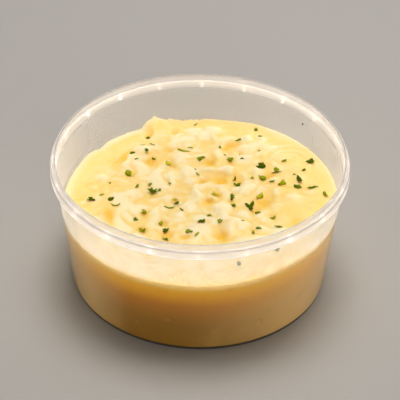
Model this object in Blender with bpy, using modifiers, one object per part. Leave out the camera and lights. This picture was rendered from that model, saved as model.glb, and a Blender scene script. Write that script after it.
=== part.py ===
"""A side of mashed potato in a round takeaway tub.

Two solids, each in its own node: the thin-walled tub, moulded in one piece of translucent
polypropylene, and the mash that fills it to about two thirds. The lid is off. Metres, +Z up,
origin at the centre of the tub's foot, on the surface that it stands on.
"""
import math

import bmesh
import bpy
from mathutils import Matrix, Vector, noise

# ---- the tub: driving dimensions -------------------------------------------------------------
SKIRT_RADIUS = 0.0590        # outside of the skirt, where a lid snaps on
FLANGE_HEIGHT = 0.0543       # top of the flange above the table
LIP_HEIGHT = 0.0024          # how far the lip stands above the flange
SKIRT_DEPTH = 0.0034         # flange top down to the skirt's lower edge
BASE_RADIUS = 0.0512         # outside of the wall at the table
SHOULDER_RADIUS = 0.0571     # outside of the wall at the skirt's lower edge
WALL = 0.0008                # thickness of wall, lip, flange and skirt
FLOOR = 0.0010               # thickness of the floor
FOOT_RECESS = 0.0006         # the floor is lifted this much inside the foot ring
FOOT_WIDTH = 0.0035          # flat width of the foot ring
HEEL_ROUND = 0.0007          # rounding of the outer edge at the table
FLOOR_FILLET = 0.0025        # inside corner between floor and wall
STACK_STEP_HEIGHT = 0.0494   # the wall is thinner above this line
STACK_STEP = 0.0002
LIP_FOOT = 0.00035           # small chamfer where the lip meets the flange
TURN_STEPS = 80              # facets round every turned piece
ROUND_STEPS = 2              # facets of a small rounding
FILLET_STEPS = 3             # facets of the floor's fillet

# ---- the gussets that brace the skirt, moulded in one with the tub ---------------------------
GUSSET_COUNT = 20
GUSSET_THICKNESS = 0.0006
GUSSET_DROP = 0.0006         # how far a gusset runs down the wall below the skirt
GUSSET_BITE = 0.0004         # how far it runs into the wall, skirt and flange that it joins
GUSSET_TURN = math.radians(-0.3)

# ---- the mash: driving dimensions ------------------------------------------------------------
GAP = 0.0003                 # between the mash and the tub
MASH_LEVEL = 0.0366          # height of the mash's top in the middle of the tub
MASH_CROWN = 0.0010          # how far the middle is heaped above that
EDGE_HEIGHTS = (             # height where the mash meets the wall, at an angle from +X in degrees
    (18.0, 0.0373),
    (36.0, 0.0371),
    (62.0, 0.0368),
    (82.0, 0.0357),
    (97.0, 0.0351),
    (104.0, 0.0361),
    (110.8, 0.0382),
    (113.5, 0.0379),
    (117.8, 0.0345),
    (134.0, 0.0346),
    (139.0, 0.0338),
    (147.0, 0.0348),
    (160.0, 0.0338),
    (172.0, 0.0335),
    (195.0, 0.0342),
    (214.0, 0.0350),
    (275.0, 0.0352),
    (292.0, 0.0357),
    (306.0, 0.0373),
    (340.0, 0.0373),
)
EDGE_REACH = 0.017           # how far in from the wall its height is felt
LUMP_HEIGHT = 0.0019         # broad spoonfuls
LUMP_SIZE = 0.0150
FOLD_HEIGHT = 0.0008         # smaller folds on them
FOLD_SIZE = 0.0070
CALM_EDGE = 0.009            # the surface calms down this near the wall
TOP_RINGS = 14
SIDE_RINGS = 3


def wall_outside(z):
    """Radius of the tub's tapered outer wall at height z."""
    skirt_edge = FLANGE_HEIGHT - SKIRT_DEPTH
    return BASE_RADIUS + (SHOULDER_RADIUS - BASE_RADIUS) * z / skirt_edge


def wall_inside(z):
    """Radius of the tub's inner wall at height z, below the stacking step."""
    return wall_outside(z) - WALL


def arc(centre_r, centre_z, radius, start_deg, end_deg, steps):
    """Points of an arc in the half plane of radius and height."""
    points = []
    for i in range(steps + 1):
        angle = math.radians(start_deg + (end_deg - start_deg) * i / steps)
        points.append((centre_r + radius * math.cos(angle), centre_z + radius * math.sin(angle)))
    return points


def tub_profile():
    """Half section of the tub: along the floor, up the inside, over the lip, down the outside."""
    floor_top = FOOT_RECESS + FLOOR
    skirt_edge = FLANGE_HEIGHT - SKIRT_DEPTH
    lip_inside = wall_inside(FLANGE_HEIGHT) + STACK_STEP
    lip_top = FLANGE_HEIGHT + LIP_HEIGHT
    rounding = WALL / 2
    step_r = wall_inside(STACK_STEP_HEIGHT)
    fillet_r = wall_inside(floor_top + FLOOR_FILLET) - FLOOR_FILLET
    foot_outside = BASE_RADIUS - HEEL_ROUND

    points = [(0.0, floor_top)]
    points += arc(fillet_r, floor_top + FLOOR_FILLET, FLOOR_FILLET, -90.0, 0.0, FILLET_STEPS)
    points.append((step_r, STACK_STEP_HEIGHT))
    points.append((step_r + STACK_STEP, STACK_STEP_HEIGHT + STACK_STEP))
    points.append((lip_inside, FLANGE_HEIGHT - WALL))
    points += arc(lip_inside + rounding, lip_top - rounding, rounding, 180.0, 0.0, 2 * ROUND_STEPS)
    points.append((lip_inside + WALL, FLANGE_HEIGHT + LIP_FOOT))
    points.append((lip_inside + WALL + LIP_FOOT, FLANGE_HEIGHT))
    points += arc(SKIRT_RADIUS - rounding, FLANGE_HEIGHT - rounding, rounding, 90.0, 0.0, ROUND_STEPS)
    points.append((SKIRT_RADIUS, skirt_edge))
    points.append((SKIRT_RADIUS - WALL, skirt_edge))
    points.append((SKIRT_RADIUS - WALL, FLANGE_HEIGHT - WALL))
    points.append((wall_outside(FLANGE_HEIGHT - WALL), FLANGE_HEIGHT - WALL))
    points += arc(foot_outside, HEEL_ROUND, HEEL_ROUND, 0.0, -90.0, ROUND_STEPS)
    points.append((foot_outside - FOOT_WIDTH, 0.0))
    points.append((foot_outside - FOOT_WIDTH - FOOT_RECESS, FOOT_RECESS))
    points.append((0.0, FOOT_RECESS))
    return points


def material(name, colour, roughness):
    """A plain Principled BSDF in one colour."""
    finish = bpy.data.materials.new(name)
    finish.use_nodes = True
    shader = finish.node_tree.nodes["Principled BSDF"]
    shader.inputs["Base Color"].default_value = (*colour, 1.0)
    shader.inputs["Roughness"].default_value = roughness
    shader.inputs["Metallic"].default_value = 0.0
    return finish


def add_object(name, mesh, collection):
    """Put a mesh in a collection as an object."""
    item = bpy.data.objects.new(name, mesh)
    collection.objects.link(item)
    return item


def make_gussets(cutters):
    """All gussets in one object: thin upright plates that fill the corner behind the skirt."""
    top = FLANGE_HEIGHT - WALL + GUSSET_BITE
    skirt_edge = FLANGE_HEIGHT - SKIRT_DEPTH
    foot = skirt_edge - GUSSET_DROP
    outer = SKIRT_RADIUS - WALL + GUSSET_BITE
    work = bmesh.new()
    for i in range(GUSSET_COUNT):
        plate = bmesh.ops.create_cube(work, size=1.0)["verts"]
        for vert in plate:
            at_skirt = vert.co.x > 0.0
            low = skirt_edge + GUSSET_BITE if at_skirt else foot
            vert.co.z = low if vert.co.z < 0.0 else top
            vert.co.x = outer if at_skirt else wall_outside(vert.co.z) - GUSSET_BITE
            vert.co.y *= GUSSET_THICKNESS
        angle = GUSSET_TURN - math.pi / 2 + math.tau * i / GUSSET_COUNT
        turn = Matrix.Rotation(angle, 3, "Z")
        bmesh.ops.rotate(work, verts=plate, cent=Vector(), matrix=turn)
    mesh = bpy.data.meshes.new("gussets")
    work.to_mesh(mesh)
    work.free()
    gussets = add_object("gussets", mesh, cutters)
    gussets.hide_render = True
    gussets.display_type = "WIRE"
    return gussets


def make_tub(parts, cutters):
    """The tub: its section turned by a Screw modifier, with the gussets joined on."""
    profile = tub_profile()
    mesh = bpy.data.meshes.new("tub")
    edges = [(i, i + 1) for i in range(len(profile) - 1)]
    mesh.from_pydata([(r, 0.0, z) for r, z in profile], edges, [])
    tub = add_object("tub", mesh, parts)
    turn = tub.modifiers.new("turn", "SCREW")
    turn.axis = "Z"
    turn.angle = math.tau
    turn.steps = TURN_STEPS
    turn.render_steps = TURN_STEPS
    turn.use_merge_vertices = True
    turn.merge_threshold = 0.00001
    turn.use_smooth_shade = True
    brace = tub.modifiers.new("brace", "BOOLEAN")
    brace.operation = "UNION"
    brace.object = make_gussets(cutters)
    tub.data.materials.append(material("translucent polypropylene", (0.80, 0.78, 0.74), 0.28))
    return tub


def smooth_step(value):
    """0 below 0, 1 above 1, and an even S between."""
    t = min(1.0, max(0.0, value))
    return t * t * (3.0 - 2.0 * t)


def edge_height(x, y):
    """Height where the mash meets the wall, in the direction of a point in plan."""
    angle = math.degrees(math.atan2(y, x)) % 360.0
    turned = EDGE_HEIGHTS[1:] + ((EDGE_HEIGHTS[0][0] + 360.0, EDGE_HEIGHTS[0][1]),)
    if angle < EDGE_HEIGHTS[0][0]:
        angle += 360.0
    for (start, low), (end, high) in zip(EDGE_HEIGHTS, turned):
        if angle <= end:
            return low + (high - low) * smooth_step((angle - start) / (end - start))
    return EDGE_HEIGHTS[0][1]


def mash_height(x, y):
    """Height of the mash's uneven top at a point in plan."""
    rim = wall_inside(MASH_LEVEL)
    radius = math.hypot(x, y)
    calm = smooth_step((rim - radius) / CALM_EDGE)
    near_wall = smooth_step(1.0 - (rim - radius) / EDGE_REACH)
    heap = MASH_CROWN * (1.0 - (radius / rim) ** 2)
    lumps = LUMP_HEIGHT * noise.noise(Vector((x, y, 0.0)) / LUMP_SIZE)
    folds = FOLD_HEIGHT * noise.noise(Vector((x, y, LUMP_SIZE)) / FOLD_SIZE)
    level = MASH_LEVEL + heap + (edge_height(x, y) - MASH_LEVEL) * near_wall
    return level + calm * (lumps + folds)


def make_mash(parts):
    """The mash: a turned block that fills the tub, then its top and sides moved to their height."""
    floor = FOOT_RECESS + FLOOR + GAP
    side_foot = floor + FLOOR_FILLET
    rim = wall_inside(MASH_LEVEL) - GAP
    fillet_r = wall_inside(side_foot) - GAP - FLOOR_FILLET
    profile = [(0.0, floor)]
    profile += arc(fillet_r, side_foot, FLOOR_FILLET, -90.0, 0.0, FILLET_STEPS)
    for i in range(1, SIDE_RINGS):
        profile.append((rim, side_foot + (MASH_LEVEL - side_foot) * i / SIDE_RINGS))
    for i in range(TOP_RINGS, -1, -1):
        profile.append((rim * i / TOP_RINGS, MASH_LEVEL))

    work = bmesh.new()
    verts = [work.verts.new((r, 0.0, z)) for r, z in profile]
    edges = [work.edges.new(pair) for pair in zip(verts, verts[1:])]
    bmesh.ops.spin(work, geom=verts + edges, axis=(0.0, 0.0, 1.0), cent=(0.0, 0.0, 0.0),
                   angle=math.tau, steps=TURN_STEPS, use_merge=True)
    bmesh.ops.remove_doubles(work, verts=work.verts[:], dist=GAP / 10)
    for vert in work.verts:
        if vert.co.z <= side_foot + GAP / 10:
            continue
        share = (vert.co.z - side_foot) / (MASH_LEVEL - side_foot)
        outward = math.hypot(vert.co.x, vert.co.y) / rim
        height = side_foot + share * (mash_height(vert.co.x, vert.co.y) - side_foot)
        vert.co *= 1.0 + outward * ((wall_inside(height) - GAP) / rim - 1.0)
        vert.co.z = height
    bmesh.ops.recalc_face_normals(work, faces=work.faces[:])
    mesh = bpy.data.meshes.new("mash")
    work.to_mesh(mesh)
    work.free()
    mesh.shade_smooth()
    mesh.materials.append(material("mashed potato", (0.95, 0.80, 0.45), 0.55))
    return add_object("mash", mesh, parts)


def new_collection(name):
    """A collection linked to the scene."""
    collection = bpy.data.collections.new(name)
    bpy.context.scene.collection.children.link(collection)
    return collection


for old in list(bpy.data.objects):
    bpy.data.objects.remove(old, do_unlink=True)
object_parts = new_collection("mashed potato side")
object_cutters = new_collection("cutters")
make_tub(object_parts, object_cutters)
make_mash(object_parts)
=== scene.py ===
"""A side of mashed potato with chopped parsley, in its round takeaway tub. The lid is off."""
import math
import random

import bmesh
import bpy
from mathutils import Matrix, Vector, noise


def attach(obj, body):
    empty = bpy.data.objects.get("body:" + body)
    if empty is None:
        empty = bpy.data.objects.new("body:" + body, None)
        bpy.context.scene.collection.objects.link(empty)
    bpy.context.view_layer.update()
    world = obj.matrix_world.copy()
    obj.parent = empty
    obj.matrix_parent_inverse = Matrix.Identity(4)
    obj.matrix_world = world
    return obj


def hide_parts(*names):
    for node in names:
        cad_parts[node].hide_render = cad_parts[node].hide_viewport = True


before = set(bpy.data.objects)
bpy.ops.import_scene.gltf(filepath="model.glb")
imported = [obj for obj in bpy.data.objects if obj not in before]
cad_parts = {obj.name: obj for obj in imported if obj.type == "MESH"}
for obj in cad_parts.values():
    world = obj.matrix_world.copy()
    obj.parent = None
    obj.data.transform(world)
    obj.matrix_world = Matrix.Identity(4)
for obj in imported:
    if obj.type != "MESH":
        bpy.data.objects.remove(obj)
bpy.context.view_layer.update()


# ---- the tub ---------------------------------------------------------------------------------
# A round, tapered takeaway tub of translucent polypropylene, injection moulded in one piece: a
# floor lifted on a foot ring, a thin wall, an upstanding lip, and a flange turned down into the
# skirt that a lid snaps over.
SKIRT_RADIUS = 0.0590
FLANGE_HEIGHT = 0.0543
LIP_TOP = 0.0567
SKIRT_EDGE = 0.0509
BASE_RADIUS = 0.0512
SHOULDER_RADIUS = 0.0571
WALL = 0.0008
FLOOR_TOP = 0.0016
FOOT_RECESS = 0.0006
FOOT_WIDTH = 0.0035
STACK_LINE = 0.0494          # the wall steps out a little above this line, where tubs nest
STACK_STEP = 0.0002
TURN_STEPS = 240
WET_BELOW = 0.031            # up to here the mash wets the wall, which looks clear there
DRY_ABOVE = 0.037
PLASTIC_IOR = 1.49
CLEAR_COLOUR = (0.995, 0.99, 0.978)
# the colour of the painted shade in grey lines along the rim's edges
EDGE_SHADE_COLOUR = (0.58, 0.54, 0.55)
SHADOW_COLOUR = (0.86, 0.845, 0.82)


def wall_outside(z):
    """Radius of the tapered wall's outer face at height z."""
    return BASE_RADIUS + (SHOULDER_RADIUS - BASE_RADIUS) * z / SKIRT_EDGE


def wall_inside(z):
    """Radius of the tapered wall's inner face at height z."""
    return wall_outside(z) - WALL


def rounded(corners, steps):
    """A line of (radius, height) points with each corner rounded by its own third number."""
    points = []
    for i, (r, z, rounding) in enumerate(corners):
        here = Vector((r, z))
        if rounding == 0.0:
            points.append(here)
            continue
        before = (Vector(corners[i - 1][:2]) - here).normalized()
        after = (Vector(corners[i + 1][:2]) - here).normalized()
        half = before.angle(after) / 2
        reach = rounding / math.tan(half)
        centre = here + (before + after).normalized() * (rounding / math.sin(half))
        start = here + before * reach - centre
        end = here + after * reach - centre
        for k in range(steps + 1):
            spoke = start.lerp(end, k / steps).normalized() * rounding
            points.append(centre + spoke)
    return points


def turned(points, steps):
    """A bmesh of the line of points turned once round the tub's axis."""
    work = bmesh.new()
    verts = [work.verts.new((p[0], 0.0, p[1])) for p in points]
    edges = [work.edges.new(pair) for pair in zip(verts, verts[1:])]
    bmesh.ops.spin(work, geom=verts + edges, axis=(0.0, 0.0, 1.0), cent=(0.0, 0.0, 0.0),
                   angle=math.tau, steps=steps, use_merge=True)
    bmesh.ops.remove_doubles(work, verts=work.verts[:], dist=0.000002)
    bmesh.ops.recalc_face_normals(work, faces=work.faces[:])
    return work


def piece(name, work, finish, body="root"):
    """The bmesh as a smooth-shaded object with its finish, riding on a body."""
    mesh = bpy.data.meshes.new(name)
    work.to_mesh(mesh)
    work.free()
    mesh.shade_smooth()
    mesh.materials.append(finish)
    made = bpy.data.objects.new(name, mesh)
    bpy.context.scene.collection.objects.link(made)
    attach(made, body)
    return made


class Wire:
    """An output socket of a material's nodes. Arithmetic on wires adds Math nodes."""

    def __init__(self, tree, socket=None):
        self.tree = tree
        self.socket = socket

    def node(self, kind, settings=(), inputs=(), output=0):
        """A node of that kind, with its settings and its inputs' values or wires."""
        made = self.tree.nodes.new(kind)
        for name, value in dict(settings).items():
            if name == "stops":
                for spot, colour in value[2:]:
                    made.color_ramp.elements.new(spot)
                for element, (spot, colour) in zip(made.color_ramp.elements, sorted(value)):
                    element.position = spot
                    element.color = (*colour, 1.0)
            else:
                setattr(made, name, value)
        for name, value in dict(inputs).items():
            if isinstance(value, Wire):
                self.tree.links.new(value.socket, made.inputs[name])
            elif isinstance(value, tuple) and made.inputs[name].type == "RGBA":
                made.inputs[name].default_value = (*value, 1.0)
            else:
                made.inputs[name].default_value = value
        return Wire(self.tree, made.outputs[output])

    def math(self, operation, *values):
        return self.node("ShaderNodeMath", {"operation": operation}, enumerate(values))

    def __add__(self, other):
        return self.math("ADD", self, other)

    def __sub__(self, other):
        return self.math("SUBTRACT", self, other)

    def __rsub__(self, other):
        return self.math("SUBTRACT", other, self)

    def __mul__(self, other):
        return self.math("MULTIPLY", self, other)

    __radd__ = __add__
    __rmul__ = __mul__

    def ramp(self, low, high, start=0.0, end=1.0):
        """A smooth S from start to end as this value goes from low to high."""
        return self.node("ShaderNodeMapRange", {"interpolation_type": "SMOOTHSTEP"},
                         {0: self, 1: low, 2: high, 3: start, 4: end})

    def blend(self, first, second):
        """This value's share of the second colour over the first."""
        return self.node("ShaderNodeMix", {"data_type": "RGBA"}, {0: self, 6: first, 7: second},
                         output=2)

    def noise(self, scale, detail, roughness=0.5):
        """Noise from -1 to 1 or so, read at this vector, with so many cells to a metre."""
        made = self.node("ShaderNodeTexNoise", (), {"Vector": self, "Scale": scale,
                                                    "Detail": detail, "Roughness": roughness})
        return made * 2.0 - 1.0


def new_finish(name):
    """An empty material and a wire of its tree, its place on the piece and its output node."""
    finish = bpy.data.materials.new(name)
    finish.use_nodes = True
    finish.node_tree.nodes.clear()
    wire = Wire(finish.node_tree)
    place = wire.node("ShaderNodeTexCoord", output="Object")
    out = finish.node_tree.nodes.new("ShaderNodeOutputMaterial")
    return finish, wire, place, out


def plastic_finish(name, wet_milk, milk, rim_milk, haze, tint,
                   rim_lines=0.0, film=0.0, slant_milk=0.0):
    """Translucent polypropylene: glass with a milky share, which lets the lamps through.

    The milky share is wet_milk where mash wets the wall, milk above that and rim_milk from the skirt up.
    slant_milk adds to it where the far wall is seen at a slant, and film where the near wall is smeared
    with mash. rim_lines adds painted shade in grey lines along the lip's top and the flange's outer
    edge, and painted highlight in a milkier line along the skirt's lower edge.
    """
    finish, wire, place, out = new_finish(name)
    height = wire.node("ShaderNodeSeparateXYZ", (), {0: place}, output="Z")
    plan = wire.node("ShaderNodeVectorMath", {"operation": "MULTIPLY"},
                     {0: place, 1: (1.0, 1.0, 0.0)})
    radius = wire.node("ShaderNodeVectorMath", {"operation": "LENGTH"}, {0: plan}, output="Value")
    near = wire.node("ShaderNodeSeparateXYZ", (), {0: place}, output="Y").ramp(0.0, -0.03)
    slant = wire.node("ShaderNodeLayerWeight", (), {"Blend": 0.5}, output="Facing").ramp(0.3, 1.0)
    at_rim = height.ramp(SKIRT_EDGE - 0.0008, SKIRT_EDGE)

    share = height.ramp(WET_BELOW, DRY_ABOVE, wet_milk, milk) + at_rim * (rim_milk - milk)
    share = share + slant * height.ramp(0.034, 0.038) * (1.0 - near * 0.8) * slant_milk
    share = share * (place.noise(90.0, 3.0) * 0.06 + 1.0)
    smears = place.noise(75.0, 3.0).ramp(-0.5, 0.6)
    smeared = height.ramp(0.0335, 0.0365) * height.ramp(0.047, 0.037)
    share = share + smears * near * smeared * film

    # painted shade: grey lines along the lip's top and the flange's outer edge
    lip_edge = height.ramp(LIP_TOP - 0.0006, LIP_TOP - 0.0002) * radius.ramp(0.05750, 0.05715)
    flange_edge = radius.ramp(SKIRT_RADIUS - 0.0007, SKIRT_RADIUS - 0.0003)
    flange_edge = flange_edge * height.ramp(FLANGE_HEIGHT - 0.0009, FLANGE_HEIGHT - 0.0005)
    flange_edge = flange_edge * height.ramp(FLANGE_HEIGHT + 0.0004, FLANGE_HEIGHT)
    # painted highlight: a milkier line along the skirt's lower edge
    skirt_highlight = height.ramp(SKIRT_EDGE + 0.0007, SKIRT_EDGE + 0.0003)
    skirt_highlight = skirt_highlight * radius.ramp(0.0576, 0.0579) * at_rim
    edge_shade = (lip_edge + flange_edge) * rim_lines
    share = share + edge_shade * 0.25 + skirt_highlight * rim_lines * 0.5

    clear = wire.node("ShaderNodeBsdfPrincipled", (),
                      {"Base Color": CLEAR_COLOUR, "Roughness": haze - at_rim * haze * 0.5,
                       "IOR": PLASTIC_IOR, "Transmission Weight": 1.0, "Coat IOR": PLASTIC_IOR,
                       "Coat Weight": height.ramp(WET_BELOW, DRY_ABOVE, 0.0, 0.3),
                       "Coat Roughness": 0.06})
    milk_and_edge_shade = []
    for colour in (tint, EDGE_SHADE_COLOUR):
        through = wire.node("ShaderNodeBsdfTranslucent", (), {"Color": colour})
        back = wire.node("ShaderNodeBsdfDiffuse", (), {"Color": colour})
        milk_and_edge_shade.append(wire.node("ShaderNodeMixShader", (), {0: 0.35, 1: through, 2: back}))
    milky = wire.node("ShaderNodeMixShader", (), {0: edge_shade, 1: milk_and_edge_shade[0], 2: milk_and_edge_shade[1]})
    seen = wire.node("ShaderNodeMixShader", (), {0: share, 1: clear, 2: milky})
    let_through = wire.node("ShaderNodeBsdfTransparent", (), {"Color": SHADOW_COLOUR})
    shadow = wire.node("ShaderNodeLightPath", output="Is Shadow Ray")
    both = wire.node("ShaderNodeMixShader", (), {0: shadow, 1: seen, 2: let_through})
    finish.node_tree.links.new(both.socket, out.inputs["Surface"])
    return finish


lip_inside = wall_inside(FLANGE_HEIGHT) + STACK_STEP
stack_r = wall_inside(STACK_LINE)
foot_outside = wall_outside(0.0)
shell_line = rounded([
    (0.0, FLOOR_TOP, 0.0),
    (wall_inside(FLOOR_TOP), FLOOR_TOP, 0.0025),
    (stack_r, STACK_LINE, 0.0002),
    (stack_r + STACK_STEP, STACK_LINE + STACK_STEP, 0.0002),
    (lip_inside - 0.0002, FLANGE_HEIGHT - 0.0010, 0.0003),
    (lip_inside, FLANGE_HEIGHT - 0.0006, 0.0003),
    (lip_inside, LIP_TOP, 0.00032),
    (lip_inside + WALL, LIP_TOP, 0.00038),
    (lip_inside + WALL, FLANGE_HEIGHT, 0.00035),
    (SKIRT_RADIUS, FLANGE_HEIGHT, 0.0004),
    (SKIRT_RADIUS, SKIRT_EDGE, 0.0002),
    (SKIRT_RADIUS - WALL, SKIRT_EDGE, 0.0002),
    (SKIRT_RADIUS - WALL, FLANGE_HEIGHT - WALL, 0.0002),
    (wall_outside(FLANGE_HEIGHT - WALL), FLANGE_HEIGHT - WALL, 0.0002),
    (foot_outside, 0.0, 0.0007),
    (foot_outside - FOOT_WIDTH, 0.0, 0.0003),
    (foot_outside - FOOT_WIDTH - FOOT_RECESS, FOOT_RECESS, 0.0003),
    (0.0, FOOT_RECESS, 0.0),
], steps=4)
plastic = plastic_finish("milky polypropylene", wet_milk=0.015, milk=0.21, rim_milk=0.36,
                         haze=0.20, tint=(1.0, 0.98, 0.965), rim_lines=1.0, film=0.28,
                         slant_milk=0.75)
shell = piece("tub_shell", turned(shell_line, TURN_STEPS), plastic)
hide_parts("tub")


# ---- the gussets under the flange ------------------------------------------------------------
# Thin upright plates that brace the skirt against the wall, moulded in one with the tub. There
# are 20 of them, and each runs a little way down the wall below the skirt.
GUSSET_COUNT = 20
GUSSET_THICKNESS = 0.0005
GUSSET_DROP = 0.0006
GUSSET_TURN = math.radians(-0.3)

gussets = bmesh.new()
for i in range(GUSSET_COUNT):
    plate = bmesh.ops.create_cube(gussets, size=1.0)["verts"]
    for vert in plate:
        at_skirt = vert.co.x > 0.0
        low = SKIRT_EDGE + 0.0002 if at_skirt else SKIRT_EDGE - GUSSET_DROP
        vert.co.z = low if vert.co.z < 0.0 else FLANGE_HEIGHT - WALL + 0.0001
        vert.co.x = SKIRT_RADIUS - WALL + 0.0001 if at_skirt else wall_outside(vert.co.z) - 0.0001
        vert.co.y *= GUSSET_THICKNESS
    turn = GUSSET_TURN - math.pi / 2 + math.tau * i / GUSSET_COUNT
    bmesh.ops.rotate(gussets, verts=plate, cent=(0.0, 0.0, 0.0),
                     matrix=Matrix.Rotation(turn, 3, "Z"))
bmesh.ops.bevel(gussets, geom=gussets.edges[:], offset=0.00012, segments=2, profile=0.5,
                affect="EDGES", material=-1)
# Painted light: a tint above 1 makes the plates brighter than plastic can be, standing for light carried
# along them.
gusset_plastic = plastic_finish("milky polypropylene, thick, painted bright", wet_milk=0.9, milk=0.9,
                                rim_milk=0.9, haze=0.2, tint=(1.3, 1.29, 1.27))
gusset_piece = piece("gussets", gussets, gusset_plastic)
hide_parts("tub")


# ---- the sealing bead ------------------------------------------------------------------------
# A fine ring moulded round the inside of the rim, level with the flange, that the plug of the lid seals
# on. It is the thickest plastic of the tub, and so the whitest; its extra milk is also painted
# highlight, the bright line along the inside of the rim.
BEAD_RADIUS = 0.05678
BEAD_HEIGHT = 0.05345
BEAD_THICKNESS = 0.00030

bead_line = [Vector((BEAD_RADIUS + BEAD_THICKNESS * math.cos(math.tau * k / 10),
                     BEAD_HEIGHT + BEAD_THICKNESS * math.sin(math.tau * k / 10)))
             for k in range(11)]
# painted highlight: the bead's extra milk
bead_plastic = plastic_finish("milky polypropylene, bead", wet_milk=0.5, milk=0.5, rim_milk=0.5,
                              haze=0.1, tint=(1.0, 0.98, 0.96))
bead = piece("seal_bead", turned(bead_line, TURN_STEPS), bead_plastic)
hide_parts("tub")


# ---- the mash --------------------------------------------------------------------------------
# Potatoes boiled, mashed with butter and milk, and spooned into the tub to about two thirds.
# It is pressed smooth against the wall, which it wets all round, and left rough in the middle.
MASH_LEVEL = 0.0366
MASH_CROWN = 0.0010
EDGE_HEIGHTS = (             # height where the mash meets the wall, at an angle from +X in degrees
    (18.0, 0.0373),
    (36.0, 0.0371),
    (62.0, 0.0368),
    (82.0, 0.0357),
    (97.0, 0.0351),
    (104.0, 0.0361),
    (110.8, 0.0382),
    (113.5, 0.0379),
    (117.8, 0.0345),
    (134.0, 0.0346),
    (139.0, 0.0338),
    (147.0, 0.0348),
    (160.0, 0.0338),
    (172.0, 0.0335),
    (195.0, 0.0342),
    (214.0, 0.0350),
    (275.0, 0.0352),
    (292.0, 0.0357),
    (306.0, 0.0373),
    (340.0, 0.0373),
)
TORN_TIPS = (                # peaks and notches of the torn edge: angle and half width, height
    (110.8, 0.9, 0.0011),
    (103.8, 1.0, 0.0005),
    (94.4, 0.7, 0.0006),
    (88.0, 1.0, 0.0003),
    (98.5, 1.6, -0.0002),
    (140.4, 1.2, -0.0005),
    (124.0, 1.0, 0.0002),
)
EDGE_REACH = 0.017
IN_WALL = 0.0002             # the mash reaches this far into the wall, so that no gap shows
GRID = 240
SIDE_RINGS = 72
MOUNDS = (                   # lumps that stand up, in mm: x, y, half length, half width, turn, share
    (-17.6, 38.7, 2.8, 4.2, 0, 0.7), (-6.8, 34.7, 4.4, 4.6, 0, 1.0), (0.2, 39.1, 3.0, 4.0, 0, 0.8),
    (6.0, 40.2, 2.6, 6.0, 0, 1.1), (19.7, 36.7, 2.4, 3.4, 0, 0.8), (-23.9, 28.6, 3.0, 3.6, 0, 0.9),
    (-27.2, 20.6, 4.2, 4.0, 10, 0.9), (-8.2, 22.4, 4.4, 6.2, 0, 1.0), (-4.8, 12.5, 3.4, 3.8, 0, 1.2),
    (-17.7, 9.4, 3.6, 5.0, 0, 1.0), (7.3, 26.0, 2.2, 5.4, 0, 1.0), (18.0, 24.4, 6.2, 2.4, 20, 0.9),
    (25.0, 32.6, 2.8, 3.0, 0, 0.5), (32.6, 26.2, 4.4, 2.2, 0, 0.5), (-1.2, -1.6, 7.2, 1.9, -74, 1.2),
    (18.2, 2.4, 8.0, 2.6, 57, 1.1), (8.9, -12.4, 3.4, 4.6, 0, 1.0), (0.3, -25.0, 3.4, 4.8, 0, 1.1),
    (-17.0, -15.6, 3.0, 3.8, 0, 0.9), (-8.0, -16.5, 3.8, 4.6, 0, 0.8), (-30.8, -13.0, 3.6, 4.6, 0, 0.9),
    (12.8, -19.6, 3.2, 3.8, 0, 0.9), (37.0, -2.8, 5.0, 2.4, 0, 0.4), (-29.0, -3.0, 4.6, 5.0, 0, 0.7),
    (29.0, 9.6, 2.6, 0.9, 0, 0.8), (40.5, 17.2, 3.4, 2.4, 0, 0.4), (-37.0, 10.3, 3.6, 3.0, 0, 0.5),
    (-44.1, 7.3, 1.8, 1.8, 0, 0.5), (-11.4, 8.2, 1.8, 3.4, 0, 0.8), (-4.5, -9.6, 4.6, 2.0, -70, 0.6),
    (4.9, -4.2, 1.0, 1.4, 0, 1.0), (4.4, 13.9, 5.0, 1.8, 0, 0.9), (11.4, 14.6, 2.4, 3.2, 0, 1.0),
    (18.0, -33.0, 5.0, 3.5, 15, 0.9), (-12.0, -38.0, 4.5, 3.0, -10, 0.9),
    (32.0, -25.0, 4.0, 3.0, 30, 0.8), (3.0, -40.0, 4.5, 3.0, 0, 0.9),
    (-27.0, -31.0, 4.5, 3.5, -20, 0.9), (30.0, -8.0, 3.4, 2.0, 10, 0.5),
)
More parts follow.
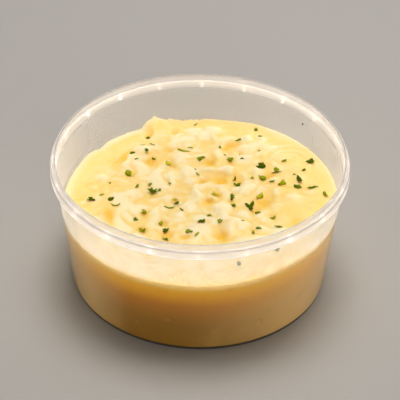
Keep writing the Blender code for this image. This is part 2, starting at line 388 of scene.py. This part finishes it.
HOLLOWS = (                  # hollows between them, the same way
    (-31.1, 24.2, 5.0, 1.8, 47, 1.0), (-21.4, 40.0, 1.6, 2.6, 0, 0.9), (-10.2, 43.0, 1.7, 2.4, 0, 0.8),
    (-19.6, 21.7, 2.5, 5.4, 0, 1.0), (-28.2, 12.6, 2.0, 1.8, 0, 0.7), (-12.8, 28.2, 1.7, 2.0, 0, 0.6),
    (-10.8, 17.4, 1.4, 3.2, 15, 0.7), (-5.0, 28.4, 2.4, 1.0, -15, 0.7), (3.2, 20.2, 2.6, 3.2, 0, 1.2),
    (12.2, 32.3, 4.8, 2.2, 50, 0.9), (11.8, 21.4, 1.7, 2.4, 0, 0.7), (25.2, 19.3, 2.2, 2.0, 0, 0.7),
    (27.6, 12.6, 5.2, 2.4, 20, 0.9), (8.1, 8.7, 3.4, 3.8, 0, 1.1), (1.3, 7.2, 2.4, 2.6, 0, 0.8),
    (15.4, 9.4, 1.9, 3.4, 0, 0.8), (33.7, 5.4, 3.2, 1.1, -15, 0.7), (42.0, 5.0, 4.0, 0.9, 0, 0.5),
    (24.9, -4.2, 3.6, 5.0, 0, 0.9), (22.3, -10.4, 2.4, 2.6, 0, 0.7), (-10.1, -5.0, 1.9, 2.6, 0, 0.8),
    (-18.2, -1.4, 1.6, 2.0, 0, 0.6), (4.0, -6.4, 1.7, 2.2, 0, 0.9), (6.8, -1.6, 1.7, 1.8, 0, 0.7),
    (-21.4, -13.7, 1.7, 2.2, 0, 0.8), (-22.0, -23.3, 2.3, 2.8, 0, 0.8), (-14.0, -20.4, 2.0, 2.4, 0, 0.8),
    (-12.0, -26.9, 3.4, 2.4, 0, 0.9), (8.9, -26.0, 2.4, 4.4, 0, 1.0), (2.4, -19.4, 1.8, 1.6, 0, 0.5),
    (28.9, -14.5, 1.6, 1.8, 0, 0.6), (-35.0, -4.3, 1.8, 2.0, 0, 0.6), (-35.8, -13.6, 3.0, 4.6, 10, 1.0),
    (-38.9, 0.2, 1.4, 1.4, 0, 0.5), (-47.2, -2.0, 1.8, 2.0, 0, 0.6), (12.6, -4.2, 1.0, 4.4, 0, 0.6),
    (-4.3, -29.0, 2.8, 2.2, 0, 0.8), (21.7, -23.6, 2.2, 2.2, 0, 0.6), (24.0, -32.0, 3.5, 2.0, 0, 0.8),
    (-6.0, -34.0, 4.0, 1.8, 0, 0.8), (-19.0, -36.0, 2.6, 2.0, 0, 0.8), (37.0, -18.0, 3.4, 2.0, 20, 0.6),
)


def smooth_step(value):
    """0 below 0, 1 above 1, and an even S between."""
    t = min(1.0, max(0.0, value))
    return t * t * (3.0 - 2.0 * t)


def edge_height(x, y):
    """Height where the mash meets the wall, in the direction of a point in plan."""
    angle = math.degrees(math.atan2(y, x)) % 360.0
    if angle < EDGE_HEIGHTS[0][0]:
        angle += 360.0
    height = EDGE_HEIGHTS[0][1]
    later = EDGE_HEIGHTS[1:] + ((EDGE_HEIGHTS[0][0] + 360.0, height),)
    for (start, low), (end, high) in zip(EDGE_HEIGHTS, later):
        if angle <= end:
            height = low + (high - low) * smooth_step((angle - start) / (end - start))
            break
    return height


def ragged_edge(x, y):
    """How far the very edge of the mash stands above or below its even line on the wall."""
    angle = math.degrees(math.atan2(y, x)) % 360.0
    torn = sum(lift * math.exp(-((angle - tip) / spread) ** 2) for tip, spread, lift in TORN_TIPS)
    rough = 1.0 + 2.5 * smooth_step((angle - 82.0) / 6.0) * smooth_step((116.0 - angle) / 3.0)
    there = Vector((x, y)).normalized()
    coarse = noise.noise(Vector((there.x * 17.0, there.y * 17.0, 2.7)))
    fine = noise.noise(Vector((there.x * 44.0, there.y * 44.0, 5.1)))
    return torn + rough * (0.00012 * coarse + 0.00010 * fine)


def bumps(x, y, size, seed):
    """Smooth noise about 0 whose features are that size, at a point in plan."""
    return noise.noise(Vector((x / size, y / size, seed)))


def puffs(x, y, size, seed):
    """Rounded puffs of that size with soft creases between them, from 0 up to about 0.6."""
    return math.sqrt(bumps(x, y, size, seed) ** 2 + 0.008) - 0.09


POCKETS = (                  # air pockets at the wall: angle, and in mm height, half width and height
    (257.3, 15.3, 2.4, 1.3),
    (243.2, 9.9, 1.4, 1.5),
    (296.8, 10.2, 1.5, 1.7),
    (276.5, 12.6, 0.9, 0.8),
    (281.2, 4.4, 0.7, 0.7),
    (235.1, 24.4, 1.2, 0.9),
    (309.3, 17.4, 0.9, 0.7),
    (120.0, 14.0, 1.8, 1.1),
    (48.0, 21.0, 1.5, 1.0),
    (176.0, 12.0, 1.2, 1.5),
)


def pocket_share(angle, z):
    """On the side, up to 1 inside an air pocket and down to -1 on a line of painted shade round it,
    stronger on one side.
    """
    share = 0.0
    for pocket_angle, height, half_wide, half_high in POCKETS:
        around = (angle - pocket_angle + 180.0) % 360.0 - 180.0
        across = math.radians(around) * 54.0 / half_wide
        if abs(across) < 2.0:
            up = z * 1000.0 - height
            off = math.hypot(across, up / half_high)
            # painted shade, stronger on one side of the pocket
            shaded_side = 0.55 + 0.45 * math.cos(math.atan2(up, across) - 0.7)
            share += smooth_step((0.9 - off) / 0.35)
            share -= math.exp(-((off - 1.0) / 0.22) ** 2) * shaded_side
    return share


def any_of(spots, x, y):
    """How far a point in plan, in mm, is inside any oval spot: 0 outside, 1 at a centre."""
    outside = 1.0
    for spot_x, spot_y, half_long, half_wide, turn, share in spots:
        dx, dy = x - spot_x, y - spot_y
        if abs(dx) + abs(dy) < 14.0:
            c, s = math.cos(math.radians(turn)), math.sin(math.radians(turn))
            off = ((dx * c + dy * s) / half_long) ** 2 + ((dy * c - dx * s) / half_wide) ** 2
            outside *= 1.0 - min(0.97, share * math.exp(-1.2 * off))
    return 1.0 - outside


def mash_surface(x, y):
    """At a point in plan, the height of the mash's top, its share of painted shade, and its share of
    painted highlight.
    """
    rim = wall_inside(MASH_LEVEL)
    radius = math.hypot(x, y)
    inward = rim - radius
    calm = smooth_step(inward / 0.009)
    near_wall = smooth_step(1.0 - inward / EDGE_REACH)
    level = MASH_LEVEL + MASH_CROWN * (1.0 - (radius / rim) ** 2)
    level += (edge_height(x, y) - MASH_LEVEL) * near_wall
    level += 0.0006 * (1.0 - (1.0 - min(1.0, max(0.0, inward) / 0.0016)) ** 2)
    level += ragged_edge(x, y) * smooth_step(1.0 - inward / 0.0020)
    level += 0.0010 * calm * bumps(x, y, 0.0150, 0.0)

    # fluff is how rough the mash was left here: less at the wall, in the stretch pressed smooth
    # at the far left, and at the right
    pressed = smooth_step((0.509 * (y - 0.002) - 0.861 * (x + 0.046) + 0.004) / 0.009)
    fluff = smooth_step((inward - 0.002) / 0.009) * (1.0 - 0.85 * pressed)
    fluff *= 1.0 - 0.55 * smooth_step((x - 0.026) / 0.014)
    wx = x + 0.0017 * bumps(x, y, 0.0060, 3.1) + 0.0003 * bumps(x, y, 0.0026, 13.1)
    wy = y + 0.0017 * bumps(x, y, 0.0060, 7.7) + 0.0003 * bumps(x, y, 0.0026, 17.7)
    mound = any_of(MOUNDS, wx * 1000.0, wy * 1000.0)
    hollow = any_of(HOLLOWS, wx * 1000.0, wy * 1000.0)
    cloud = puffs(wx, wy, 0.0068, 5.9)
    curd = puffs(wx, wy, 0.0031, 9.3)
    stroke = bumps(wx * 0.5 + wy, wy * 0.3 - wx * 0.2, 0.0048, 6.4)
    swirl = math.hypot(x - 0.036, (y - 0.024) * 1.1)
    swirl = math.cos(swirl * math.tau / 0.0034) * math.exp(-((swirl - 0.009) / 0.005) ** 2)
    swirl *= smooth_step((y - 0.022) / 0.006)
    detail = 0.0014 * mound - 0.0011 * hollow + 0.0011 * cloud + 0.00016 * curd - 0.0004
    detail *= fluff
    grain = 0.00008 * bumps(x, y, 0.0013, 4.2)
    detail += calm * (0.00014 * stroke * (1.0 - fluff) + 0.00018 * swirl + grain)

    # painted shade: golden in the hollows, in the creases between the puffs and along the near wall
    low = smooth_step(inward / 0.004) * hollow * (1.0 - 0.4 * mound)
    low += fluff * 1.6 * max(0.0, 0.06 - cloud) * (1.0 - mound)
    near_margin = smooth_step((-y - 0.030) / 0.012) * smooth_step(1.0 - inward / 0.012)
    low = max(low, 0.5 * near_margin)

    # painted highlight: paler towards the front, on lumps, puffs and ridges, along the wall at the far
    # left, right and back, and at the torn tip
    front = 0.12 * smooth_step((-y - 0.010) / 0.020)
    pale = 0.20 + front + 0.58 * mound + 1.5 * (cloud - 0.10) + 0.8 * (curd - 0.08)
    raised = min(1.0, fluff * pale + 0.35 * max(0.0, swirl))
    far_left = smooth_step((-x - 0.008) / 0.022) * smooth_step((y + 0.02) / 0.02)
    margin = far_left + 0.6 * smooth_step((x - 0.020) / 0.015)
    margin += 0.5 * smooth_step((y - 0.03) / 0.01)
    raised = max(raised, 0.8 * margin * smooth_step(1.0 - inward / 0.0065))
    tip = smooth_step((y + x - 0.030) / 0.004) * smooth_step((-x - 0.006) / 0.003)
    raised = max(raised, tip * smooth_step(1.0 - inward / 0.0016))
    return level + detail, min(1.0, low), max(0.0, raised)


mash = bmesh.new()
bmesh.ops.create_grid(mash, x_segments=GRID, y_segments=GRID, size=1.0)
shaded_hollow_layer = mash.verts.layers.float.new("hollow")
depth_layer = mash.verts.layers.float.new("depth")
painted_highlight_layer = mash.verts.layers.float.new("raised")
pocket_layer = mash.verts.layers.float.new("pocket")
for vert in mash.verts:
    u, v = vert.co.x, vert.co.y
    out = Vector((u * math.sqrt(1.0 - v * v / 2), v * math.sqrt(1.0 - u * u / 2), 0.0))
    flat = out * wall_inside(MASH_LEVEL)
    height, hollow, raised = mash_surface(flat.x, flat.y)
    vert.co = out * (wall_inside(height) + IN_WALL)
    vert.co.z = height
    vert[shaded_hollow_layer] = hollow
    vert[painted_highlight_layer] = raised

MASH_FOOT = FLOOR_TOP - 3 * IN_WALL
fillet_line = rounded([(0.0, MASH_FOOT, 0.0), (wall_inside(MASH_FOOT), MASH_FOOT, 0.0008),
                       (wall_inside(0.01), 0.01, 0.0)], steps=6)
side_foot = fillet_line[-2]
ring = [edge for edge in mash.edges if edge.is_boundary]
steps_down = [(None, k / SIDE_RINGS) for k in range(1, SIDE_RINGS + 1)]
steps_down += [(point, 1.0) for point in reversed(fillet_line[1:-2])]
for point, share in steps_down:
    made = bmesh.ops.extrude_edge_only(mash, edges=ring)["geom"]
    fresh = {item for item in made if isinstance(item, bmesh.types.BMVert)}
    ring = [item for item in made if isinstance(item, bmesh.types.BMEdge)
            and item.verts[0] in fresh and item.verts[1] in fresh]
    for vert in fresh:
        angle = math.atan2(vert.co.y, vert.co.x)
        top = edge_height(vert.co.x, vert.co.y) + ragged_edge(vert.co.x, vert.co.y)
        z = point[1] if point is not None else top + (side_foot[1] - top) * share
        reach = (point[0] if point is not None else wall_inside(z)) + IN_WALL
        vert.co = Vector((math.cos(angle) * reach, math.sin(angle) * reach, z))
        vert[depth_layer] = top - z
        vert[pocket_layer] = pocket_share(math.degrees(angle) % 360.0, z)
        vert[shaded_hollow_layer] = 0.0
        vert[painted_highlight_layer] = 0.0
bmesh.ops.holes_fill(mash, edges=ring, sides=0)
bmesh.ops.recalc_face_normals(mash, faces=mash.faces[:])

finish, wire, place, out = new_finish("mashed potato")
hollow = wire.node("ShaderNodeAttribute", {"attribute_name": "hollow"}, output="Fac")
depth = wire.node("ShaderNodeAttribute", {"attribute_name": "depth"}, output="Fac")
raised = wire.node("ShaderNodeAttribute", {"attribute_name": "raised"}, output="Fac")
pocket = wire.node("ShaderNodeAttribute", {"attribute_name": "pocket"}, output="Fac")
fine = place.noise(700.0, 3.0)

# The top is butter yellow in two shades. Paler on the lumps is painted highlight, and golden in the
# hollows is painted shade.
patches = place.noise(110.0, 2.0).ramp(-0.45, 0.5)
top_colour = patches.blend((0.99, 0.665, 0.215), (0.99, 0.71, 0.30))
# painted highlight: the lumps and ridges turn paler
pale = (raised + place.noise(420.0, 2.0) * 0.18 - hollow * 0.4).ramp(0.05, 0.95)
top_colour = (pale * 0.95).blend(top_colour, (1.0, 0.80, 0.51))
# painted shade: the hollows and creases turn golden
top_colour = hollow.blend(top_colour, (1.0, 0.555, 0.05))

# The side is cream at its very edge, then golden, then tan, and duller towards the foot: painted light
# and shade, the glow of light coming down through the mash from its top, fading lower down. The left and
# right are paler than the front: painted light from the sides. Faint marbling and the air pockets lie
# over it.
across = wire.node("ShaderNodeSeparateXYZ", (), {0: place}, output="X")
# painted light: the left and right of the side paler, as if lit from the sides
painted_side_light = across.ramp(-0.046, -0.024, 1.0, 0.0) + across.ramp(-0.014, 0.050)
# painted glow and shade: golden high up, tan lower, and dark at the foot in front
gold = painted_side_light.blend((1.0, 0.57, 0.002), (0.95, 0.61, 0.14))
tan = painted_side_light.blend((0.66, 0.285, 0.002), (0.84, 0.54, 0.17))
foot = painted_side_light.blend((0.40, 0.205, 0.009), (0.78, 0.55, 0.23))
side_colour = (depth + place.noise(60.0, 2.0) * 0.0006).ramp(0.0034, 0.0130).blend(gold, tan)
side_colour = depth.ramp(0.008, 0.024).blend(side_colour, foot)
# painted glow: cream just below the top edge, where light comes through from the top
painted_edge_glow = (depth + place.noise(330.0, 3.0) * 0.0007).ramp(-0.0004, 0.0046)
side_colour = painted_edge_glow.blend((0.98, 0.72, 0.28), side_colour)
marbling = place.noise(75.0, 4.0, 0.6)
pale_veins = marbling.ramp(0.05, 0.7) * depth.ramp(0.004, 0.012) * 0.28
side_colour = pale_veins.blend(side_colour, (0.90, 0.58, 0.16))
side_colour = (marbling.ramp(-0.1, -0.7) * 0.30).blend(side_colour, (0.42, 0.20, 0.01))
side_colour = (pocket.ramp(0.0, 1.0) * 0.12).blend(side_colour, (0.95, 0.68, 0.32))
# painted shade: a dark line round each air pocket, darker on one side
side_colour = (pocket.ramp(0.0, -1.0) * 0.45).blend(side_colour, (0.34, 0.17, 0.02))
on_side = depth.ramp(0.0, 0.0004)
base = on_side.blend(top_colour, side_colour)
relief = wire.node("ShaderNodeBump", (), {"Strength": 0.35, "Distance": 0.0002,
                                          "Height": fine * (1.0 - on_side)}, output="Normal")
skin = wire.node("ShaderNodeBsdfPrincipled", {"subsurface_method": "RANDOM_WALK"},
                 {"Base Color": base, "Roughness": 0.45 + fine * 0.06, "IOR": 1.4,
                  "Specular IOR Level": 0.35,
                  "Subsurface Weight": 1.0, "Subsurface Radius": (1.0, 0.85, 0.65),
                  "Subsurface Scale": 0.0013, "Normal": relief})
finish.node_tree.links.new(skin.socket, out.inputs["Surface"])
mash_piece = piece("mash_body", mash, finish)
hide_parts("mash")


# ---- the parsley -----------------------------------------------------------------------------
# Fresh parsley leaf, chopped by hand and sprinkled over the mash: chips, slivers and small
# curls 1 to 3.5 mm long, dark on top of the leaf and yellow-green at the stalks. Three of them
# stuck to the wall.
CHIPS = (                    # x, y, length, width in mm, turn in degrees, shade dark to yellow
    (-43, -4, 3.0, 1.9, -25, 0.1),
    (-35, -4, 2.6, 2.0, 60, 0.1),
    (-39, -1, 1.5, 1.2, 0, 0.9),
    (-33, -9, 3.2, 0.6, -5, 0.5),
    (-29, 13, 3.0, 1.8, -20, 0.5),
    (-22, 39, 1.8, 1.6, 60, 0.3),
    (-19, 0, 3.0, 2.2, 10, 0.1),
    (-22, -13, 2.8, 1.3, -15, 0.6),
    (-25, -18, 2.2, 1.5, 20, 0.3),
    (-22, -23, 2.9, 2.2, 70, 0.5),
    (-13, -25, 2.2, 1.8, 0, 0.2),
    (-7, 28, 4.2, 1.0, -10, 0.8),
    (0, 22, 2.9, 1.9, 30, 0.5),
    (-13, 19, 2.0, 1.8, 0, 0.9),
    (12, 23, 2.7, 2.2, -40, 0.5),
    (16, 37, 2.4, 1.1, 20, 0.5),
    (25, 20, 3.8, 2.7, -25, 0.0),
    (31, 16, 3.6, 2.0, 10, 0.4),
    (45, 22, 2.6, 2.6, 10, 0.2),
    (25, 11, 2.4, 2.4, 40, 0.4),
    (33, 7, 2.2, 2.6, -60, 0.8),
    (15, 6, 2.8, 2.0, 90, 0.3),
    (40, 9, 1.7, 3.2, 20, 0.2),
    (39, 5, 2.4, 1.9, -10, 0.3),
    (45, 5, 3.8, 1.2, 20, 0.3),
    (50, -1, 1.4, 2.6, 20, 0.5),
    (13, -3, 1.8, 2.8, 0, 0.3),
    (24, -1, 3.2, 1.5, 50, 0.7),
    (6, -1, 2.6, 1.2, -30, 0.9),
    (13, -8, 2.5, 1.4, 5, 0.4),
    (20, -8, 2.6, 3.4, 10, 0.0),
    (23, -12, 2.6, 1.1, 0, 0.6),
    (31, -21, 2.4, 0.9, -5, 0.4),
    (1, -19, 2.0, 2.2, -20, 0.3),
    (-4, -26, 2.0, 2.0, 40, 0.5),
    (-28, 26, 1.7, 1.4, 20, 0.4),
    (-22, 27, 1.2, 1.3, 0, 0.3),
    (-19, 24, 1.4, 0.8, -20, 0.3),
    (-26, 21, 1.4, 0.6, 20, 0.6),
    (-24, 32, 2.0, 0.4, 30, 0.5),
    (-20, 33, 2.4, 0.4, -35, 0.5),
    (-20, 4, 1.2, 1.1, 40, 0.4),
    (-16, 1, 1.5, 1.0, 50, 0.5),
    (-25, 3, 0.8, 1.5, -30, 0.4),
    (-12, 5, 1.0, 1.0, -40, 0.6),
    (-4, 30, 1.9, 0.7, 0, 0.6),
    (8, 31, 0.8, 1.5, 20, 0.5),
    (10, 26, 1.5, 0.6, 0, 0.4),
    (17, 23, 1.2, 0.5, 0, 0.4),
    (16, 27, 0.6, 0.5, 0, 0.3),
    (23, 45, 1.2, 1.6, 0, 0.3),
    (25, 40, 2.0, 0.4, 5, 0.6),
    (24, 29, 1.0, 0.5, 40, 0.5),
    (34, 23, 2.0, 1.3, 25, 0.4),
    (29, 8, 1.9, 0.7, -5, 0.4),
    (21, 11, 1.5, 0.8, 0, 0.8),
    (4, -15, 2.1, 1.1, 25, 0.4),
    (8, -19, 1.7, 1.8, 50, 0.5),
    (-15, -20, 1.3, 1.6, 20, 0.7),
    (-1, -28, 1.8, 0.9, 40, 0.6),
    (17, -19, 1.5, 0.5, -30, 0.6),
    (23, -22, 1.9, 1.5, 0, 0.5),
    (21, -25, 0.9, 2.4, -10, 0.5),
    (29, -15, 1.8, 1.1, 20, 0.6),
    (-12, -10, 3.4, 0.6, -15, 0.5),
    (-9, -7, 1.8, 1.7, 0, 0.1),
    (-7, -12, 2.8, 0.4, -50, 0.5),
    (-10, -4, 2.0, 0.6, 10, 0.9),
    (-1, 12, 2.0, 0.4, -50, 0.3),
    (-2, 15, 0.8, 0.5, 0, 0.6),
    (14, 10, 0.8, 2.4, -25, 0.2),
    (-2, 50, 1.8, 0.5, 50, 0.3),
    (-36, 6, 0.7, 0.6, 0, 0.5),
    (-13, -30, 2.2, 1.1, -15, 0.3),
    (38, 13, 1.1, 0.5, 0, 0.6),
    (42, 16, 1.2, 1.1, 0, 0.4),
)

WALL_CHIPS = (               # stuck to the wall inside: angle, height, length and width in mm
    (285.6, 0.0450, 2.6, 1.1),
    (302.1, 0.0470, 1.7, 1.4),
    (41.0, 0.0465, 0.8, 0.6),
)
LEAF_THICKNESS = 0.00022
STUCK_TURN = 90.0            # a stuck chip stands on end
STUCK_SHADE = 0.3

chance = random.Random(7)
herbs = bmesh.new()
shade_layer = herbs.verts.layers.float.new("shade")


def add_chip(x, y, length, width, turn, shade, height=None):
    """One chip of leaf: a ragged blade, curled, and laid on the mash or set at a height."""
    rim = bmesh.ops.create_circle(herbs, cap_ends=True, cap_tris=True, radius=0.5,
                                  segments=12)["verts"]
    phase = chance.uniform(0.0, math.tau)
    lobes = chance.choice((2, 3, 3, 5))
    for vert in rim:
        if vert.co.length > 0.1:
            angle = math.atan2(vert.co.y, vert.co.x)
            ragged = 1.0 + 0.20 * math.sin(lobes * angle + phase)
            vert.co *= ragged + chance.uniform(-0.34, 0.20)
    faces = list({face for vert in rim for face in vert.link_faces})
    curl = chance.uniform(-0.4, 0.9)
    fold = chance.uniform(0.1, 0.7)
    bend = chance.uniform(-0.3, 0.3)
    tone = chance.uniform(-0.12, 0.12)
    for vert in rim:
        mottled = shade + tone + 0.35 * vert.co.y + chance.uniform(-0.14, 0.14)
        vert[shade_layer] = min(1.0, max(0.0, mottled))
        vert.co.x *= length * 0.00122
        vert.co.y = vert.co.y * width * 0.00128 + bend * vert.co.x ** 2 / (length * 0.001)
        vert.co.z = curl * vert.co.x ** 2 / (length * 0.001) + fold * abs(vert.co.y)
    solid = bmesh.ops.solidify(herbs, geom=faces, thickness=LEAF_THICKNESS)["geom"]
    verts = set(rim) | {item for item in solid if isinstance(item, bmesh.types.BMVert)}
    x, y = x * 0.001, y * 0.001
    here = Vector((x, y, height if height else mash_surface(x, y)[0]))
    step = 0.0012
    slope = Vector((mash_surface(x - step, y)[0] - mash_surface(x + step, y)[0],
                    mash_surface(x, y - step)[0] - mash_surface(x, y + step)[0],
                    2 * step)).normalized()
    lean = Vector((chance.gauss(0.0, 0.28), chance.gauss(0.0, 0.28), 1.0)).normalized()
    if height:
        slope, lean = Vector((-x, -y, 0.0)).normalized(), Vector((0.0, 0.0, 0.0))
    lay = Vector((0.0, 0.0, 1.0)).rotation_difference((slope + lean).normalized())
    spot = Matrix.Translation(here + Vector((0.0, 0.0, 0.00012))) @ lay.to_matrix().to_4x4()
    bmesh.ops.transform(herbs, verts=list(verts),
                        matrix=spot @ Matrix.Rotation(math.radians(turn), 4, "Z"))


for chip in CHIPS:
    add_chip(*chip)
for angle, height, length, width in WALL_CHIPS:
    reach = (wall_inside(height) - 0.0004) * 1000.0
    add_chip(reach * math.cos(math.radians(angle)), reach * math.sin(math.radians(angle)),
             length, width, STUCK_TURN, STUCK_SHADE, height)
bmesh.ops.recalc_face_normals(herbs, faces=herbs.faces[:])

finish, wire, place, out = new_finish("parsley leaf")
shade = wire.node("ShaderNodeAttribute", {"attribute_name": "shade"}, output="Fac")
vein = place.noise(1500.0, 2.0)
green = wire.node("ShaderNodeValToRGB",
                  {"stops": [(0.0, (0.060, 0.085, 0.003)), (1.0, (0.62, 0.54, 0.010)),
                             (0.35, (0.125, 0.185, 0.004)), (0.7, (0.34, 0.35, 0.005))]},
                  {0: shade + vein * 0.12})
leaf = wire.node("ShaderNodeBsdfPrincipled", (),
                 {"Base Color": green, "Roughness": 0.65 + vein * 0.08, "IOR": 1.4,
                  "Specular IOR Level": 0.0})
finish.node_tree.links.new(leaf.socket, out.inputs["Surface"])
parsley = piece("parsley", herbs, finish)


# ---- floor, lamps and camera -----------------------------------------------------------------
# A plain pale floor, a broad lamp above and behind, a weak one low at the back, one low at each
# side, and one in front.
floor = bmesh.new()
bmesh.ops.create_grid(floor, x_segments=1, y_segments=1, size=3.0)
floor_finish, wire, place, out = new_finish("pale floor")
paint = wire.node("ShaderNodeBsdfPrincipled", (),
                  {"Base Color": (0.42, 0.41, 0.395), "Roughness": 0.75})
floor_finish.node_tree.links.new(paint.socket, out.inputs["Surface"])
floor_mesh = bpy.data.meshes.new("floor")
floor.to_mesh(floor_mesh)
floor.free()
floor_mesh.materials.append(floor_finish)
floor_piece = bpy.data.objects.new("floor", floor_mesh)
bpy.context.scene.collection.objects.link(floor_piece)


def lamp(name, place, aim, size, power, colour):
    """A soft square lamp at a place, pointing at a point."""
    data = bpy.data.lights.new(name, "AREA")
    data.size = size
    data.energy = power
    data.color = colour
    made = bpy.data.objects.new(name, data)
    made.location = place
    made.rotation_euler = (Vector(aim) - Vector(place)).to_track_quat("-Z", "Y").to_euler()
    bpy.context.scene.collection.objects.link(made)


lamp("lamp_above", (0.05, 0.20, 0.82), (0.0, 0.0, 0.03), 0.50, 6.2, (1.0, 0.955, 0.905))
lamp("lamp_back", (0.06, 0.72, 0.30), (0.0, 0.0, 0.04), 0.30, 0.5, (1.0, 0.96, 0.92))
lamp("lamp_left", (-0.70, 0.05, 0.12), (0.0, 0.0, 0.03), 0.24, 1.0, (1.0, 0.965, 0.91))
lamp("lamp_right", (0.66, 0.14, 0.12), (0.0, 0.0, 0.03), 0.24, 0.94, (1.0, 0.965, 0.91))
lamp("lamp_front", (0.22, -0.85, 0.30), (0.0, 0.0, 0.02), 0.30, 1.95, (1.0, 0.95, 0.86))
sky = bpy.data.worlds.new("studio")
sky.use_nodes = True
sky.node_tree.nodes["Background"].inputs["Color"].default_value = (1.0, 0.98, 0.96, 1.0)
sky.node_tree.nodes["Background"].inputs["Strength"].default_value = 0.05
bpy.context.scene.world = sky
bpy.context.scene.view_settings.view_transform = "Standard"

camera_data = bpy.data.cameras.new("camera")
camera_data.lens = 171.26
camera_data.sensor_width = 36.0
camera_data.shift_x = 0.0009
camera_data.clip_start = 0.05
camera = bpy.data.objects.new("camera", camera_data)
camera.location = (0.0, -0.6057, 0.4924)
camera.rotation_euler = (Matrix.Rotation(math.pi / 2 - 0.6476, 3, "X")
                         @ Matrix.Rotation(0.01417, 3, "Z")).to_euler()
bpy.context.scene.collection.objects.link(camera)
bpy.context.scene.camera = camera
